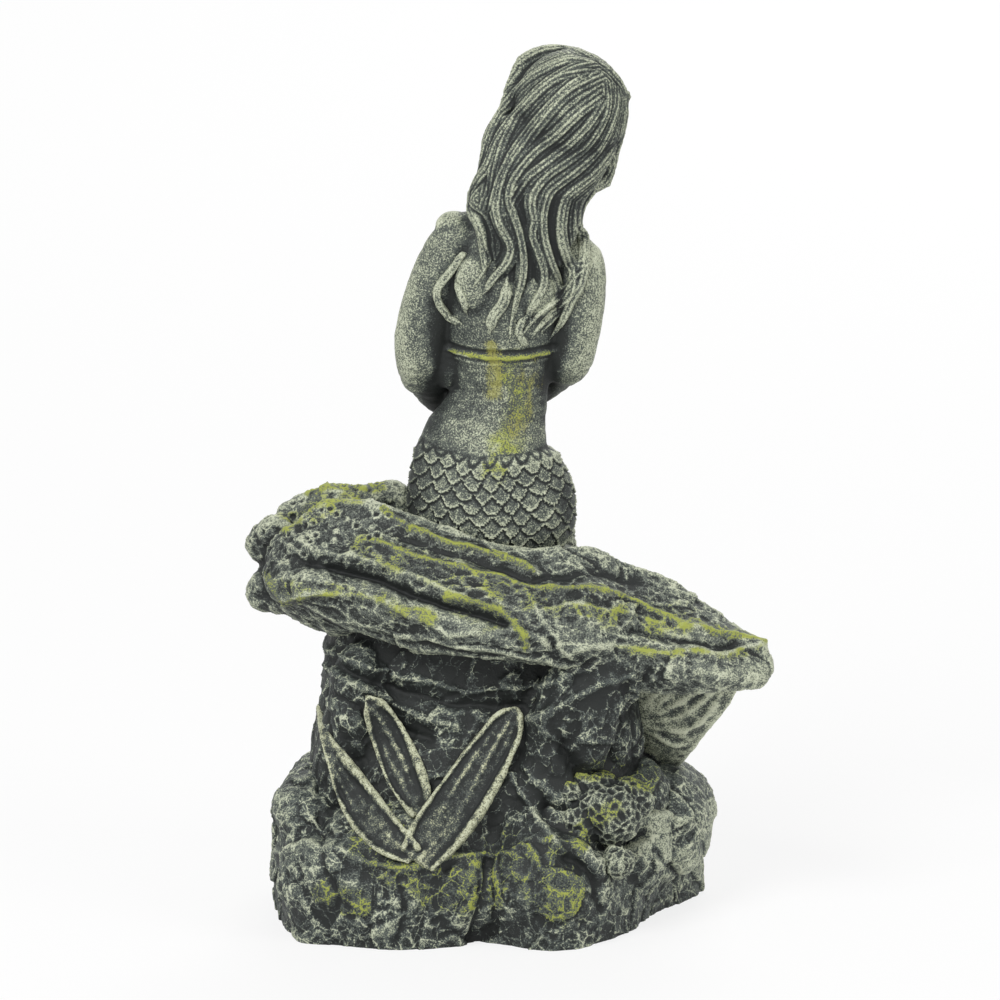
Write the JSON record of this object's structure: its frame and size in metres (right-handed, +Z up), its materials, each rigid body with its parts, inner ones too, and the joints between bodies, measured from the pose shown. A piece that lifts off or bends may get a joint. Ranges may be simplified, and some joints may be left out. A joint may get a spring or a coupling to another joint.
{
  "type": "mermaid figurine",
  "caption": "Cast figurine of a mermaid seated on a long rock ledge, her back with loose wavy hair turned to the viewer, on a pillar with leaves and a broad rough foot that stands flat.",
  "frame": {"origin": "in the middle of the flat underside of the foot", "axes": "+Z up, +Y the way the mermaid faces, +X to the right of someone behind her"},
  "size_m": [0.0874, 0.0638, 0.1462],
  "materials": {
    "cast_resin": "cast resin with a stone look: charcoal grey-green with pale sage dry-brushing on the raised parts and yellow-green moss along the ridges"
  },
  "bodies": {
    "root": {"mermaid_figurine": "cast_resin"}
  },
  "joints": []
}
